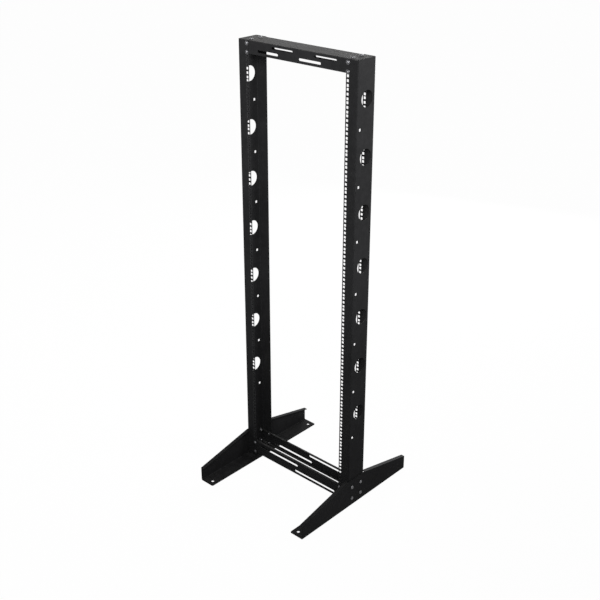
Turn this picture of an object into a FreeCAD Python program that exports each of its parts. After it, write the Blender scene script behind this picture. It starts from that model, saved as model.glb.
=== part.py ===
import FreeCAD, Part
import os

# Two-post open frame rack of folded steel sheet, in millimetres.
# X runs across the front, Y from front to back, Z up from the floor.
# The foot and the base bar are each used twice, the second one turned round about Z. The
# uprights are turned the same way and differ in the rail holes of one flange and in the side
# to which the cable holes are set back.

# Rack unit pattern of the 19 inch system
rack_unit = 44.45
first_hole = 6.35
hole_step = 15.875
holes_per_unit = 3
hole_line_spacing = 465.1
square_hole = 9.5

# Units used by the top channel, by the equipment and by the base bars
top_units = 1
equipment_units = 36
base_units = 2

# Uprights: one channel each, open to the inside
clear_opening = 450.0
upright_flange = 50.0
upright_depth = 92.0
upright_sheet = 2.0
upright_bend = 2.0
top_margin = 5.0

# Round cable holes set back in the web of each upright, with a small square hole below each
cable_hole_diameter = 58.0
cable_hole_back = 5.0
cable_hole_count = 7
cable_hole_pitch_units = 4.5
first_cable_hole_units = 3.0
small_hole = 10.0
small_hole_edge = 18.0

# Feet: a tall leg outside the upright, a flange on the floor, a lip on each slope
foot_length = 620.0
foot_sheet = 3.0
foot_bend = 3.0
foot_flange = 64.0
foot_tip_height = 60.0
foot_shoulder_height = 118.0
foot_shoulder_margin = 4.0
foot_lip = 15.0
lip_gap = 2.0
foot_corner_radius = 6.0
anchor_hole_diameter = 12.0
anchor_hole_end = 22.0
anchor_hole_edge = 22.0

# Square holes for the necks of the bolts through the foot and the web of the upright
foot_bolt_hole = 8.5
foot_bolt_spacing_y = 52.0
foot_bolt_spacing_z = 50.0
foot_bolt_low = 34.0

# Top channel and base bars, seated inside the flanges of the uprights
bar_sheet = 2.0
bar_bend = 2.0
bar_end_clearance = 3.0
bar_bolt_hole = 6.5
top_channel_height = 48.0
top_bolt_spacing_y = 44.0
base_bar_height = 60.0
base_bar_lip = 10.0
middle_hole = 1

# Slots with round ends in the faces of the bars
slot_width = 9.0
top_slot_length = 100.0
top_slot_near = 64.0
top_slot_far = 133.0
top_slot_edge = 14.0
base_slot_length = 210.0
base_slot_offset = 98.0
base_slot_spacing_z = 27.0

# Sizes that follow
upright_units = top_units + equipment_units + base_units
upright_bottom = foot_sheet + foot_bend
upright_top = upright_bottom + upright_units * rack_unit + top_margin
web_outer_x = clear_opening / 2 + upright_flange
web_inner_x = web_outer_x - upright_sheet
half_depth = upright_depth / 2
seat_y = half_depth - upright_sheet
hole_x = hole_line_spacing / 2
bar_half_length = web_inner_x - bar_end_clearance
foot_outer_x = web_outer_x + foot_sheet
base_bar_middle = upright_bottom + base_units * rack_unit / 2

X_AXIS = FreeCAD.Vector(1, 0, 0)
Y_AXIS = FreeCAD.Vector(0, 1, 0)
Z_AXIS = FreeCAD.Vector(0, 0, 1)
ORIGIN = FreeCAD.Vector(0, 0, 0)


def block(x0, x1, y0, y1, z0, z1):
    corner = FreeCAD.Vector(min(x0, x1), min(y0, y1), min(z0, z1))
    return Part.makeBox(abs(x1 - x0), abs(y1 - y0), abs(z1 - z0), corner)


def prism(points, direction):
    """A closed outline swept in one straight direction."""
    outline = [FreeCAD.Vector(*point) for point in points]
    face = Part.Face(Part.makePolygon(outline + outline[:1]))
    return face.extrude(FreeCAD.Vector(*direction))


def edges_through(shape, *places):
    """The straight edges whose middles lie at the given places."""
    found = []
    for place in places:
        target = FreeCAD.Vector(*place)
        nearest = min(shape.Edges, key=lambda edge: edge.CenterOfMass.distanceToPoint(target))
        found.append(nearest)
    return found


def fold(shape, inner_places, outer_places, inner_radius, sheet):
    """Round the inside and the outside of each fold of a sheet."""
    rounded = shape.makeFillet(inner_radius, edges_through(shape, *inner_places))
    return rounded.makeFillet(inner_radius + sheet, edges_through(rounded, *outer_places))


def turned(shape):
    """The same part turned half round about the middle of the rack."""
    copy = shape.copy()
    copy.rotate(ORIGIN, Z_AXIS, 180)
    return copy


def slot_cutter(centre_x, centre_z, length):
    """A slot with round ends, cut right through in the Y direction."""
    radius = slot_width / 2
    straight = length / 2 - radius
    ends = []
    for side in (-1, 1):
        start = FreeCAD.Vector(centre_x + side * straight, -half_depth, centre_z)
        ends.append(Part.makeCylinder(radius, upright_depth, start, Y_AXIS))
    middle = block(centre_x - straight, centre_x + straight, -half_depth, half_depth,
                   centre_z - radius, centre_z + radius)
    return middle.fuse(ends).removeSplitter()


def bolt_cutter(x, z):
    """A square bolt hole cut right through in the Y direction."""
    half_hole = bar_bolt_hole / 2
    return block(x - half_hole, x + half_hole, -half_depth, half_depth, z - half_hole, z + half_hole)


def hole_height(unit, hole):
    """Height of one hole of the rail, counted up from the foot of the upright."""
    return upright_bottom + unit * rack_unit + first_hole + hole * hole_step


def bar_holes(unit):
    """The holes of one unit that take the bolts of a bar: two at the top channel, one in each base unit."""
    if unit >= base_units + equipment_units:
        return (0, holes_per_unit - 1)
    if unit < base_units:
        return (middle_hole,)
    return ()


def left_upright(rear_rail, cable_hole_y):
    """Channel with its web outside, rail holes in the flanges and cut-outs in the web."""
    x0, x1 = -web_outer_x, -clear_opening / 2
    outside = block(x0, x1, -half_depth, half_depth, upright_bottom, upright_top)
    hollow = block(-web_inner_x, x1, -seat_y, seat_y, upright_bottom, upright_top)
    channel = outside.cut(hollow)
    middle_z = (upright_bottom + upright_top) / 2
    channel = fold(
        channel,
        [(-web_inner_x, side * seat_y, middle_z) for side in (-1, 1)],
        [(x0, side * half_depth, middle_z) for side in (-1, 1)],
        upright_bend, upright_sheet)

    cutters = []
    half_hole = square_hole / 2
    for unit in range(upright_units):
        holes = bar_holes(unit)
        back = upright_depth if holes or rear_rail else 0
        for hole in holes or range(holes_per_unit):
            z = hole_height(unit, hole)
            cutters.append(block(-hole_x - half_hole, -hole_x + half_hole,
                                 -upright_depth, back, z - half_hole, z + half_hole))
    channel = channel.cut(Part.makeCompound(cutters))

    cutters = [web_cutter(y, z, foot_bolt_hole) for y, z in foot_bolt_places()]
    for number in range(cable_hole_count):
        units_down = first_cable_hole_units + number * cable_hole_pitch_units
        z = upright_top - units_down * rack_unit
        start = FreeCAD.Vector(-foot_outer_x, cable_hole_y, z)
        cutters.append(Part.makeCylinder(cable_hole_diameter / 2, upright_flange / 2, start, X_AXIS))
        between = z - cable_hole_pitch_units * rack_unit / 2
        cutters.append(web_cutter(half_depth - small_hole_edge, between, small_hole))
    return channel.cut(Part.makeCompound(cutters))


def web_cutter(y, z, width):
    """A square hole along X through the web and the leg of the foot on the left side."""
    half_hole = width / 2
    return block(-foot_outer_x - foot_sheet, -web_inner_x + foot_sheet,
                 y - half_hole, y + half_hole, z - half_hole, z + half_hole)


def foot_bolt_places():
    for side in (-1, 1):
        for row in (0, 1):
            yield side * foot_bolt_spacing_y / 2, foot_bolt_low + row * foot_bolt_spacing_z


def left_foot():
    """Leg that falls from the upright to both tips, with a floor flange and two lips."""
    half = foot_length / 2
    shoulder = half_depth + foot_shoulder_margin
    x0, x1 = -foot_outer_x, -web_outer_x
    leg = prism([(x0, -half, 0), (x0, -half, foot_tip_height), (x0, -shoulder, foot_shoulder_height),
                 (x0, shoulder, foot_shoulder_height), (x0, half, foot_tip_height), (x0, half, 0)],
                (foot_sheet, 0, 0))
    flange_edge = x0 + foot_flange
    flange = block(x0, flange_edge, -half, half, 0, foot_sheet)
    corners = [(flange_edge, side * half, foot_sheet / 2) for side in (-1, 1)]
    flange = flange.makeFillet(foot_corner_radius, edges_through(flange, *corners))
    foot = leg.fuse(flange).removeSplitter()
    foot = fold(foot, [(x1, 0, foot_sheet)], [(x0, 0, 0)], foot_bend, foot_sheet)

    # The lip follows the slope and stops clear of the flange of the upright.
    rise = (foot_shoulder_height - foot_tip_height) / (half - shoulder)
    lip_end = shoulder + lip_gap
    drop = foot_sheet * (1 + rise * rise) ** 0.5
    end_height = foot_shoulder_height - rise * lip_gap
    for side in (-1, 1):
        slope = [(x0, side * half, foot_tip_height), (x0, side * lip_end, end_height),
                 (x0, side * lip_end, end_height - drop), (x0, side * half, foot_tip_height - drop)]
        foot = foot.fuse(prism(slope, (foot_lip, 0, 0)))
    foot = foot.removeSplitter()

    cutters = [web_cutter(y, z, foot_bolt_hole) for y, z in foot_bolt_places()]
    for side in (-1, 1):
        start = FreeCAD.Vector(flange_edge - anchor_hole_edge, side * (half - anchor_hole_end), -foot_sheet)
        cutters.append(Part.makeCylinder(anchor_hole_diameter / 2, 3 * foot_sheet, start, Z_AXIS))
    return foot.cut(Part.makeCompound(cutters))


def top_channel():
    """Inverted channel with the same staggered slots in both faces and bolt holes in its flat top."""
    top = upright_top
    bottom = top - top_channel_height
    half = bar_half_length
    inner_y = seat_y - bar_sheet
    outside = block(-half, half, -seat_y, seat_y, bottom, top)
    hollow = block(-half, half, -inner_y, inner_y, bottom, top - bar_sheet)
    channel = outside.cut(hollow)
    channel = fold(channel, [(0, side * inner_y, top - bar_sheet) for side in (-1, 1)],
                   [(0, side * seat_y, top) for side in (-1, 1)], bar_bend, bar_sheet)

    cutters = []
    top_unit = upright_units - 1
    for side, slot_z in ((-1, bottom + top_slot_edge), (1, top - top_slot_edge)):
        cutters.append(slot_cutter(side * top_slot_far, slot_z, top_slot_length))
        cutters.append(slot_cutter(-side * top_slot_near, slot_z, top_slot_length))
        for hole in bar_holes(top_unit):
            cutters.append(bolt_cutter(side * hole_x, hole_height(top_unit, hole)))
        for y in (-top_bolt_spacing_y / 2, top_bolt_spacing_y / 2):
            square = block(-bar_bolt_hole / 2, bar_bolt_hole / 2, -bar_bolt_hole / 2, bar_bolt_hole / 2,
                           top - 2 * bar_sheet, top)
            square.translate(FreeCAD.Vector(side * hole_x, y, 0))
            cutters.append(square)
    return channel.cut(Part.makeCompound(cutters))


def front_base_bar():
    """Channel with two short lips behind the front flanges, with two long slots."""
    half = bar_half_length
    low = base_bar_middle - base_bar_height / 2
    high = base_bar_middle + base_bar_height / 2
    outside = block(-half, half, -seat_y, -seat_y + base_bar_lip, low, high)
    hollow = block(-half, half, -seat_y + bar_sheet, -seat_y + base_bar_lip, low + bar_sheet, high - bar_sheet)
    bar = outside.cut(hollow)
    inner_y = -seat_y + bar_sheet
    bar = fold(bar, [(0, inner_y, low + bar_sheet), (0, inner_y, high - bar_sheet)],
               [(0, -seat_y, low), (0, -seat_y, high)], bar_bend, bar_sheet)

    cutters = []
    for side in (-1, 1):
        cutters.append(slot_cutter(side * base_slot_offset, base_bar_middle - side * base_slot_spacing_z / 2,
                                   base_slot_length))
        for unit in range(base_units):
            cutters.append(bolt_cutter(side * hole_x, hole_height(unit, middle_hole)))
    return bar.cut(Part.makeCompound(cutters))


def write(name, shape):
    if len(shape.Solids) != 1 or not shape.isValid():
        raise ValueError(name + " is not one sound solid")
    shape.Solids[0].exportStep(os.path.join("parts", name + ".step"))
    print(name, round(shape.Volume), [round(v, 2) for v in (shape.BoundBox.XLength,
          shape.BoundBox.YLength, shape.BoundBox.ZLength)])


os.makedirs("parts", exist_ok=True)
foot = left_foot()
base_bar = front_base_bar()
write("left_upright", left_upright(rear_rail=False, cable_hole_y=cable_hole_back))
write("right_upright", turned(left_upright(rear_rail=True, cable_hole_y=-cable_hole_back)))
write("left_foot", foot)
write("right_foot", turned(foot))
write("top_channel", top_channel())
write("base_front_bar", base_bar)
write("base_rear_bar", turned(base_bar))
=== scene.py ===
import math

import bpy
import numpy as np
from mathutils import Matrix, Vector


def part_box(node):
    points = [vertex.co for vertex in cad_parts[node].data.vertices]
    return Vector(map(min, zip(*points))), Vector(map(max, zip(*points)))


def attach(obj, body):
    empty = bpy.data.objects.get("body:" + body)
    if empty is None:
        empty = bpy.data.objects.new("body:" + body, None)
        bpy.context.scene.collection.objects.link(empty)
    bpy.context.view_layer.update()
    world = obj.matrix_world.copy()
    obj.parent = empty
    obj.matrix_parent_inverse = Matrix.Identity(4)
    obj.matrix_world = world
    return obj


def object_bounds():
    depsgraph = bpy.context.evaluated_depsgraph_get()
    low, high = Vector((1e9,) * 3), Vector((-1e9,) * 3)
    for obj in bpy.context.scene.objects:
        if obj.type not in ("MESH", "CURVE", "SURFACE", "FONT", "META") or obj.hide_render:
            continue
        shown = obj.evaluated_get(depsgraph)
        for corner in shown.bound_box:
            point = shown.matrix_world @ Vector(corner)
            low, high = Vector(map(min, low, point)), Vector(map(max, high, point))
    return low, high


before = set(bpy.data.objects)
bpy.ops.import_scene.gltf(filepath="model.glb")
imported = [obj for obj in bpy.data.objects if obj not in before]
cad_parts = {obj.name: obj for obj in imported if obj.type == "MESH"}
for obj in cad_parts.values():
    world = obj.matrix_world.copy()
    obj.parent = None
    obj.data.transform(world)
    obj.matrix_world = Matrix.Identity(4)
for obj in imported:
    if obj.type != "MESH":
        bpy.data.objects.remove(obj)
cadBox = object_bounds()
scene = bpy.context.scene
scene.view_settings.view_transform = "Standard"
print("frame loaded:", len(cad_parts), "folded parts")


# one socket of a shader; arithmetic on it adds Math nodes
class Value:
    def __init__(self, tree, socket):
        self.tree = tree
        self.socket = socket

    def math(self, operation, *items):
        made = self.tree.nodes.new("ShaderNodeMath")
        made.operation = operation
        for place, item in zip(made.inputs, items):
            if isinstance(item, Value):
                self.tree.links.new(item.socket, place)
            else:
                place.default_value = item
        return Value(self.tree, made.outputs[0])

    def __add__(self, other):
        return self.math("ADD", self, other)

    def __radd__(self, other):
        return self.math("ADD", other, self)

    def __sub__(self, other):
        return self.math("SUBTRACT", self, other)

    def __rsub__(self, other):
        return self.math("SUBTRACT", other, self)

    def __mul__(self, other):
        return self.math("MULTIPLY", self, other)

    def __rmul__(self, other):
        return self.math("MULTIPLY", other, self)

    def __abs__(self):
        return self.math("ABSOLUTE", self)

    def least(self, other):
        return self.math("MINIMUM", self, other)

    def most(self, other):
        return self.math("MAXIMUM", self, other)

    def over(self, other):
        return self.math("GREATER_THAN", self, other)


# a node tree with one way to add any node: type, settings, values or links by socket, outputs wanted
class Finish:
    def __init__(self, tree):
        self.tree = tree
        self.tree.nodes.clear()

    def node(self, kind, settings, sockets, *outputs):
        made = self.tree.nodes.new(kind)
        for key, item in settings.items():
            setattr(made, key, item)
        for key, item in sockets.items():
            if isinstance(item, Value):
                self.tree.links.new(item.socket, made.inputs[key])
            else:
                made.inputs[key].default_value = item
        found = [Value(self.tree, made.outputs[key]) for key in outputs]
        return found[0] if len(found) == 1 else found

    def noise(self, where, scale, detail, rough=0.5):
        return self.node("ShaderNodeTexNoise", {}, {
            "Vector": where, "Scale": scale, "Detail": detail, "Roughness": rough}, 0)

    # 0 below low, 1 above high, smooth between
    def step(self, value, low, high):
        return self.node("ShaderNodeMapRange", {"interpolation_type": "SMOOTHSTEP"}, {
            "Value": value, "From Min": low, "From Max": high, "To Min": 0.0, "To Max": 1.0}, 0)

    # a Mix node of colours takes its factor at 0 and its colours at 6 and 7, and gives its result at 2
    def blend(self, share, one, two):
        return self.node("ShaderNodeMix", {"data_type": "RGBA"}, {0: share, 6: one, 7: two}, 2)

    def split(self, where):
        return self.node("ShaderNodeSeparateXYZ", {}, {"Vector": where}, "X", "Y", "Z")


def newMaterial(name):
    material = bpy.data.materials.new(name)
    material.use_nodes = True
    return material, Finish(material.node_tree)


camera = {"lens": 60.0, "sensor": 36.0, "azimuth": 42.54, "elevation": 23.83, "distance": 3.75,
          "aim": (-0.02, 0.0, 0.909), "shiftY": -0.05, "clipEnd": 200.0}


def setCamera(c):
    data = bpy.data.cameras.new("camera")
    data.lens = c["lens"]
    data.sensor_width = c["sensor"]
    data.shift_y = c["shiftY"]
    data.dof.use_dof = False
    data.clip_end = c["clipEnd"]
    a, e = math.radians(c["azimuth"]), math.radians(c["elevation"])
    back = Vector((math.sin(a) * math.cos(e), -math.cos(a) * math.cos(e), math.sin(e)))
    eye = bpy.data.objects.new("camera", data)
    eye.location = Vector(c["aim"]) + back * c["distance"]
    eye.rotation_euler = back.to_track_quat("Z", "Y").to_euler()
    scene.collection.objects.link(eye)
    scene.camera = eye


setCamera(camera)
print("camera set")


studio = {"white": (1.0, 1.0, 1.0, 1.0), "skyForDiffuse": 0.22,
          "floorGrey": (0.7, 0.7, 0.7, 1.0), "floorWhite": 0.98, "floorHalf": 60.0}
lamps = [
    {"name": "key", "at": (1.5, -2.0, 2.6), "aim": (-0.65, 0.15, 1.5),
     "size": 1.4, "watts": 49.0, "spread": 72.0},
    {"name": "left", "at": (-1.7, -2.5, 1.9), "aim": (-0.2, 0.0, 1.1),
     "size": 1.4, "watts": 14.0, "spread": 180.0},
    {"name": "rearRight", "at": (1.55, 1.2, 1.75), "aim": (0.27, 0.0, 1.55),
     "size": 0.9, "watts": 22.0, "spread": 90.0},
    {"name": "rearLeft", "at": (-2.3, 2.5, 2.6), "aim": (0.0, 0.0, 1.7),
     "size": 1.4, "watts": 20.0, "spread": 180.0},
    {"name": "back", "at": (-1.3, 3.2, 1.2), "aim": (0.0, 0.0, 0.9),
     "size": 1.6, "watts": 110.0, "spread": 180.0},
]


# 1 for rays that see the background: from the camera, a gloss or glass
def seenDirectly(finish):
    eye, gloss, glass = finish.node("ShaderNodeLightPath", {}, {},
                                    "Is Camera Ray", "Is Glossy Ray", "Is Transmission Ray")
    return eye.most(gloss).most(glass)


def setSky(s):
    world = bpy.data.worlds.new("studio")
    scene.world = world
    world.use_nodes = True
    sky = Finish(world.node_tree)
    dim = s["skyForDiffuse"]
    light = sky.node("ShaderNodeBackground", {}, {
        "Color": s["white"], "Strength": dim + (1.0 - dim) * seenDirectly(sky)}, 0)
    sky.node("ShaderNodeOutputWorld", {}, {"Surface": light})


# a pale matt floor that looks nearly white, so that only a faint shadow stays
def layFloor(s):
    material, floor = newMaterial("paleFloor")
    matt = floor.node("ShaderNodeBsdfDiffuse", {}, {"Color": s["floorGrey"]}, 0)
    white = floor.node("ShaderNodeEmission", {}, {"Color": s["white"], "Strength": 1.0}, 0)
    mixed = floor.node("ShaderNodeMixShader", {}, {
        0: seenDirectly(floor) * s["floorWhite"], 1: matt, 2: white}, 0)
    floor.node("ShaderNodeOutputMaterial", {}, {"Surface": mixed})
    half = s["floorHalf"]
    corners = [(-half, -half, 0), (half, -half, 0), (half, half, 0), (-half, half, 0)]
    mesh = bpy.data.meshes.new("floor")
    mesh.from_pydata(corners, [], [(0, 1, 2, 3)])
    mesh.materials.append(material)
    ground = bpy.data.objects.new("floor", mesh)
    scene.collection.objects.link(ground)


def hangLamp(lamp):
    data = bpy.data.lights.new(lamp["name"], "AREA")
    data.size = lamp["size"]
    data.energy = lamp["watts"]
    data.spread = math.radians(lamp["spread"])
    holder = bpy.data.objects.new(lamp["name"], data)
    away = Vector(lamp["at"]) - Vector(lamp["aim"])
    holder.location = lamp["at"]
    holder.rotation_euler = away.to_track_quat("Z", "Y").to_euler()
    holder.visible_camera = False
    scene.collection.objects.link(holder)


setSky(studio)
layFloor(studio)
for lamp in lamps:
    hangLamp(lamp)
print("studio set")


# the rail holes start at the lower end of the uprights, three in each unit of height
uprightLow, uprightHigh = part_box("right_upright")
railHoles = {"lineX": 0.4651 / 2, "half": 0.0095 / 2, "bottom": uprightLow.z, "unit": 0.04445,
             "offsets": (0.00635, 0.022225, 0.0381), "firstUnit": 2, "topUnit": 38, "rim": 0.0016}


def unitHeight(h, unit):
    return h["bottom"] + unit * h["unit"]


# how near a point is to the rim of a rail hole: the hole pattern repeats every unit, and the
# distance is measured outwards from the square; a flange without rail holes is left out
def rimOfRailHoles(finish, where, h, rearToo):
    x, y, z = finish.split(where)
    up = z - h["bottom"]
    turn = up.math("MODULO", up, h["unit"])
    away = abs(turn - h["offsets"][0])
    for offset in h["offsets"][1:]:
        away = away.least(abs(turn - offset))
    dz = (away - h["half"]).most(0.0)
    dx = (abs(abs(x) - h["lineX"]) - h["half"]).most(0.0)
    squared = dx * dx + dz * dz
    rim = 1.0 - finish.step(squared.math("SQRT", squared), 0.0, h["rim"])
    low, high = unitHeight(h, h["firstUnit"]), unitHeight(h, h["topUnit"])
    rim = rim * z.over(low) * (high - z).over(0.0)
    return rim if rearToo else rim * (0.0 - y).over(0.0)


# the noises give scale, detail and roughness, and the ranges say from where to where a mask rises
# the pale colour on what faces up is partly dust and partly painted light from above, more on the bars than
# on the feet
coat = {"black": (0.0072, 0.0072, 0.0075, 1.0), "faded": (0.0106, 0.0106, 0.011, 1.0),
        "dustAndTopLight": (0.085, 0.083, 0.08, 1.0), "rubbed": (0.022, 0.022, 0.023, 1.0),
        "roughness": 0.44, "specular": 0.008, "dustAndTopLightOnBars": 0.35, "dustAndTopLightOnFeet": 0.07,
        "cloud": (2.6, 3.0), "mottle": (46.0, 4.0, 0.6), "peel": (420.0, 2.0), "grain": (1500.0, 1.0),
        "scuff": (9.0, 6.0, 0.7), "scuffStretch": (60.0, 60.0, 5.0), "scuffRange": (0.62, 0.74),
        "cloudInTone": 0.6, "toneRange": (0.35, 0.65), "cloudInDustAndTopLight": 0.5, "dustAndTopLightRange": (0.3, 0.7),
        "levelRange": (0.55, 0.95), "cloudDull": 0.12, "grainDull": 0.10, "scuffDull": 0.06,
        "dustAndTopLightDull": 0.25, "rimLeast": 0.35, "rimMottle": 0.4, "rimShine": 0.08,
        "peelInBump": 0.75, "bumpStrength": 0.35, "bumpDepth": 0.0004}


# satin powder coat: orange peel and fine grain in the bump, slow shifts of tone and gloss,
# a little dust together with a painted top light on what faces up, and a rubbed rim round each rail hole
# where there are any
def powderCoat(name, c, dustAndTopLightShare, rails=None, rearRail=False):
    material, paint = newMaterial(name)
    where = paint.node("ShaderNodeTexCoord", {}, {}, "Object")
    cloud = paint.noise(where, *c["cloud"])
    mottle = paint.noise(where, *c["mottle"])
    peel = paint.noise(where, *c["peel"])
    grain = paint.noise(where, *c["grain"])
    drawn = paint.node("ShaderNodeMapping", {}, {"Vector": where, "Scale": c["scuffStretch"]}, 0)
    scuffs = paint.step(paint.noise(drawn, *c["scuff"]), *c["scuffRange"])

    share = c["cloudInTone"]
    tone = paint.step(cloud * share + mottle * (1.0 - share), *c["toneRange"])
    colour = paint.blend(tone, c["black"], c["faded"])
    normal = paint.node("ShaderNodeNewGeometry", {}, {}, "Normal")
    # painted light: what faces up is blended towards the pale colour, partly dust and partly a painted top
    # light
    level = paint.step(paint.split(normal)[2], *c["levelRange"])
    share = c["cloudInDustAndTopLight"]
    dustAndTopLight = level * paint.step(mottle * (1.0 - share) + cloud * share, *c["dustAndTopLightRange"]) * dustAndTopLightShare
    colour = paint.blend(dustAndTopLight, colour, c["dustAndTopLight"])
    rough = c["roughness"] + (cloud - 0.5) * c["cloudDull"] + (grain - 0.5) * c["grainDull"]
    rough = rough + scuffs * c["scuffDull"] + dustAndTopLight * c["dustAndTopLightDull"]
    if rails:
        rim = rimOfRailHoles(paint, where, rails, rearRail) * (c["rimLeast"] + mottle * c["rimMottle"])
        colour = paint.blend(rim, colour, c["rubbed"])
        rough = rough - rim * c["rimShine"]
    share = c["peelInBump"]
    bump = paint.node("ShaderNodeBump", {}, {
        "Strength": c["bumpStrength"], "Distance": c["bumpDepth"],
        "Height": peel * share + grain * (1.0 - share)}, 0)
    shader = paint.node("ShaderNodeBsdfPrincipled", {}, {
        "Base Color": colour, "Roughness": rough, "Normal": bump, "Specular IOR Level": c["specular"]}, 0)
    paint.node("ShaderNodeOutputMaterial", {}, {"Surface": shader})
    return material


barCoat = powderCoat("barCoat", coat, coat["dustAndTopLightOnBars"])
footCoat = powderCoat("footCoat", coat, coat["dustAndTopLightOnFeet"])
coats = {"left_upright": powderCoat("leftUprightCoat", coat, coat["dustAndTopLightOnBars"], railHoles),
         "right_upright": powderCoat("rightUprightCoat", coat, coat["dustAndTopLightOnBars"], railHoles, rearRail=True),
         "left_foot": footCoat, "right_foot": footCoat}
for name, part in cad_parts.items():
    part.data.materials.clear()
    part.data.materials.append(coats.get(name, barCoat))
print("powder coat on", len(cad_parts), "parts")


zinc = {"dark": (0.075, 0.075, 0.079, 1.0), "light": (0.13, 0.13, 0.135, 1.0), "roughness": 0.42,
        "spangle": (900.0, 3.0, 0.6), "stain": (130.0, 3.0), "spangleInTone": 0.5,
        "toneRange": (0.35, 0.65), "spangleDull": 0.2, "stainDull": 0.15,
        "bumpStrength": 0.25, "bumpDepth": 0.0002}


# dull zinc: a fine spangle over slower stains, in the tone and in the gloss
def dullZinc(name, z):
    material, metal = newMaterial(name)
    where = metal.node("ShaderNodeTexCoord", {}, {}, "Object")
    spangle = metal.noise(where, *z["spangle"])
    stain = metal.noise(where, *z["stain"])
    share = z["spangleInTone"]
    tone = metal.step(spangle * share + stain * (1.0 - share), *z["toneRange"])
    colour = metal.blend(tone, z["dark"], z["light"])
    rough = z["roughness"] + (spangle - 0.5) * z["spangleDull"] + (stain - 0.5) * z["stainDull"]
    bump = metal.node("ShaderNodeBump", {}, {
        "Strength": z["bumpStrength"], "Distance": z["bumpDepth"], "Height": spangle}, 0)
    shader = metal.node("ShaderNodeBsdfPrincipled", {}, {
        "Base Color": colour, "Roughness": rough, "Normal": bump, "Metallic": 1.0}, 0)
    metal.node("ShaderNodeOutputMaterial", {}, {"Surface": shader})
    return material


boltZinc = dullZinc("boltZinc", zinc)


# a turned shape: each row of the profile is (radius, height, hex share); the radius is carried
# round the axis and stretched by 1 / cos of the angle from the nearest flat where the share is 1.
# spin turns the flats, and the first and last rows are poles on the axis.
def turnedShape(profile, sides, spin=0.0):
    rows = np.array(profile, dtype=float)
    turn = np.arange(sides) * 2 * math.pi / sides
    sixth = math.pi / 3
    flat = 1.0 / np.cos((turn + spin + sixth / 2) % sixth - sixth / 2)
    radius = rows[1:-1, :1] * (1 - rows[1:-1, 2:] + rows[1:-1, 2:] * flat[None, :])
    height = np.repeat(rows[1:-1, 1:2], sides, axis=1)
    ring = np.stack([radius * np.cos(turn), radius * np.sin(turn), height], axis=-1).reshape(-1, 3)
    poles = np.array([[0, 0, rows[0, 1]], [0, 0, rows[-1, 1]]])
    count = len(rows) - 2
    near = np.arange(sides)
    far = (near + 1) % sides
    low = (np.arange(count - 1) * sides)[:, None]
    high = low + sides
    quads = np.stack([low + near, low + far, high + far, high + near], axis=-1).reshape(-1, 4)
    last = (count - 1) * sides
    first = np.stack([np.full(sides, count * sides), far, near], axis=-1)
    end = np.stack([np.full(sides, count * sides + 1), last + near, last + far], axis=-1)
    return np.concatenate([ring, poles]), quads, np.concatenate([first, end])


sharpAngle = math.radians(35)


# the same shape at many places: its axis is laid along the way out at each, and its points are added
# to the place; a shape that points up has Y as its second axis, any other has Z
def repeated(name, shape, places, outward, material):
    points, quads, fans = shape
    out = np.array(outward, dtype=float)
    up = np.where(abs(out[:, 2:]) > 0.5, [0.0, 1.0, 0.0], [0.0, 0.0, 1.0])
    axes = np.stack([np.cross(up, out), up, out], axis=-1)
    allPoints = (np.einsum("kij,mj->kmi", axes, points) + places[:, None, :]).reshape(-1, 3)
    shift = (np.arange(len(places)) * len(points))[:, None, None]
    faces = (quads[None] + shift).reshape(-1, 4).tolist() + (fans[None] + shift).reshape(-1, 3).tolist()
    mesh = bpy.data.meshes.new(name)
    mesh.from_pydata(allPoints.tolist(), [], faces)
    mesh.polygons.foreach_set("use_smooth", np.ones(len(faces), dtype=bool))
    mesh.set_sharp_from_angle(angle=sharpAngle)
    mesh.materials.append(material)
    piece = bpy.data.objects.new(name, mesh)
    scene.collection.objects.link(piece)
    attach(piece, "root")


# every combination of the values given for x, y and z
def everyPlace(*values):
    return [grid.ravel() for grid in np.meshgrid(*values, indexing="ij")]


# profile of a dome from the rim to the inner edge: a quarter ellipse
def dome(radius, low, height, inner, steps):
    edge = math.acos(inner / radius)
    return [(radius * math.cos(a), low + height * math.sin(a), 0) for a in np.linspace(0.0, edge, steps)]


# ridges of a thread seen from the side: the radius swings between crest and root
def thread(radius, low, high, pitch, rootShare=0.09):
    height = np.arange(low, high, pitch / 2)
    return [(radius - (rootShare * radius if i % 2 else 0.0), h, 0) for i, h in enumerate(height)]


# shares of the flat's or the shank's radius, and two short heights
nutForm = {"flare": 1.01, "crown": 0.99, "bore": 1.08, "tip": 0.8,
           "tipRise": 0.0003, "threadGap": 0.0002, "sides": 24}


# profile of a hexagon nut on its washer, with the end of the bolt standing out of it
def nutOnWasher(b, n, spin):
    low = b["nutWasherThick"]
    top = low + b["nutHigh"]
    end = top + b["end"]
    flat, shank, edge = b["nutFlat"], b["shank"], b["nutEdge"]
    rows = [(0, 0, 0), (b["nutWasher"], 0, 0), (b["nutWasher"], low, 0), (flat * n["flare"], low, 0),
            (flat, low + edge, 1), (flat, top - edge, 1),
            (flat * n["crown"], top, 0), (shank * n["bore"], top, 0)]
    rows += thread(shank, top + n["threadGap"], end, b["pitch"])
    rows += [(shank * n["tip"], end + n["tipRise"], 0), (0, end + n["tipRise"], 0)]
    return turnedShape(rows, n["sides"], spin)


sheet = 0.002  # of the uprights and bars
barBolt = {"washer": 0.0080, "washerThick": 0.0014, "washerEdge": 0.0004, "washerRound": 0.0003,
           "head": 0.0056, "headFoot": 0.98, "headRise": 0.0005, "headHigh": 0.0034,
           "domeSteps": 7, "headSides": 24,
           "socket": 0.0020, "socketRim": 1.35, "socketEdge": 0.0002,
           "socketDeep": 0.0019, "socketPoint": 0.0021,
           "nutWasher": 0.0054, "nutWasherThick": 0.0010, "nutFlat": 0.0050, "nutHigh": 0.0048,
           "nutEdge": 0.0005, "nutSpin": math.pi / 6, "shank": 0.0030, "end": 0.0030, "pitch": 0.001,
           "holes": ((0, 1), (1, 1), (38, 0), (38, 2)), "topY": 0.022}  # holes: unit, place in it


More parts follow.
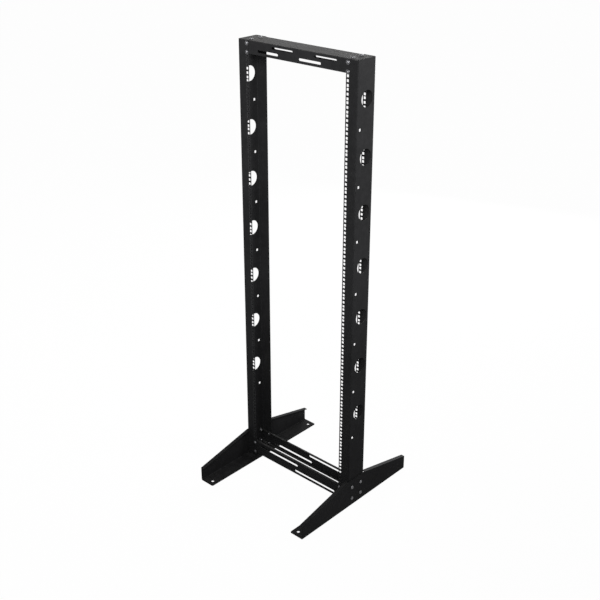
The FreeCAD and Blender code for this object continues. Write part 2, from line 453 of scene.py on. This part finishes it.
# profile of a washer and a button head with a hexagon socket
def buttonHead(b):
    washer, thick, socket = b["washer"], b["washerThick"], b["socket"]
    rows = [(0, 0, 0), (washer, 0, 0), (washer, thick - b["washerRound"], 0),
            (washer - b["washerEdge"], thick, 0), (b["head"] * b["headFoot"], thick, 0)]
    rows += dome(b["head"], thick + b["headRise"], b["headHigh"], socket * b["socketRim"], b["domeSteps"])
    top = rows[-1][1]
    rows += [(socket, top - b["socketEdge"], 1), (socket, top - b["socketDeep"], 1),
             (0, top - b["socketPoint"], 1)]
    return turnedShape(rows, b["headSides"])


# the base bars and the top channel: bolts through the flanges, and two in each end of the flat top
def fitBarBolts(b):
    head, nut = buttonHead(b), nutOnWasher(b, nutForm, b["nutSpin"])
    heights = [unitHeight(railHoles, unit) + railHoles["offsets"][place] for unit, place in b["holes"]]
    lineX, outsideY = railHoles["lineX"], uprightHigh.y
    insideY = outsideY - 2 * sheet
    x, y, z = everyPlace((-1, 1), (-1, 1), heights)
    out = np.stack([0 * x, y, 0 * x], axis=-1)
    repeated("barBolts", head, np.stack([x * lineX, y * outsideY, z], axis=-1), out, boltZinc)
    repeated("barNuts", nut, np.stack([x * lineX, y * insideY, z], axis=-1), -out, boltZinc)
    x, y, z = everyPlace((-1, 1), (-1, 1), (uprightHigh.z,))
    out = np.tile([0.0, 0.0, 1.0], (len(x), 1))
    flat = np.stack([x * lineX, y * b["topY"], z], axis=-1)
    repeated("topBolts", head, flat, out, boltZinc)
    repeated("topNuts", nut, flat - out * sheet, -out, boltZinc)


footBolt = {"head": 0.0069, "headEdge": 0.0007, "headHigh": 0.0040, "headMiddle": 0.0006,
            "domeSteps": 9, "headSides": 28,
            "nutWasher": 0.0082, "nutWasherThick": 0.0015, "nutFlat": 0.0065, "nutHigh": 0.0065,
            "nutEdge": 0.0006, "nutSpin": 0.0, "shank": 0.0040, "end": 0.0040, "pitch": 0.00125,
            "halfY": 0.026, "heights": (0.034, 0.084)}


# profile of a plain domed head
def domedHead(b):
    edge, high = b["headEdge"], b["headHigh"]
    rows = [(0, 0, 0), (b["head"], 0, 0)]
    rows += dome(b["head"], edge, high - edge, b["headMiddle"], b["domeSteps"])
    rows += [(0, high, 0)]
    return turnedShape(rows, b["headSides"])


# four bolts through each foot and the web of its upright
def fitFootBolts(b):
    head, nut = domedHead(b), nutOnWasher(b, nutForm, b["nutSpin"])
    outsideX, insideX = cadBox[1].x, uprightHigh.x - sheet
    x, y, z = everyPlace((-1, 1), (-1, 1), b["heights"])
    out = np.stack([x, 0 * x, 0 * x], axis=-1)
    repeated("footBolts", head, np.stack([x * outsideX, y * b["halfY"], z], axis=-1), out, boltZinc)
    repeated("footNuts", nut, np.stack([x * insideX, y * b["halfY"], z], axis=-1), -out, boltZinc)


fitBarBolts(barBolt)
fitFootBolts(footBolt)
print("bolts and nuts fitted")
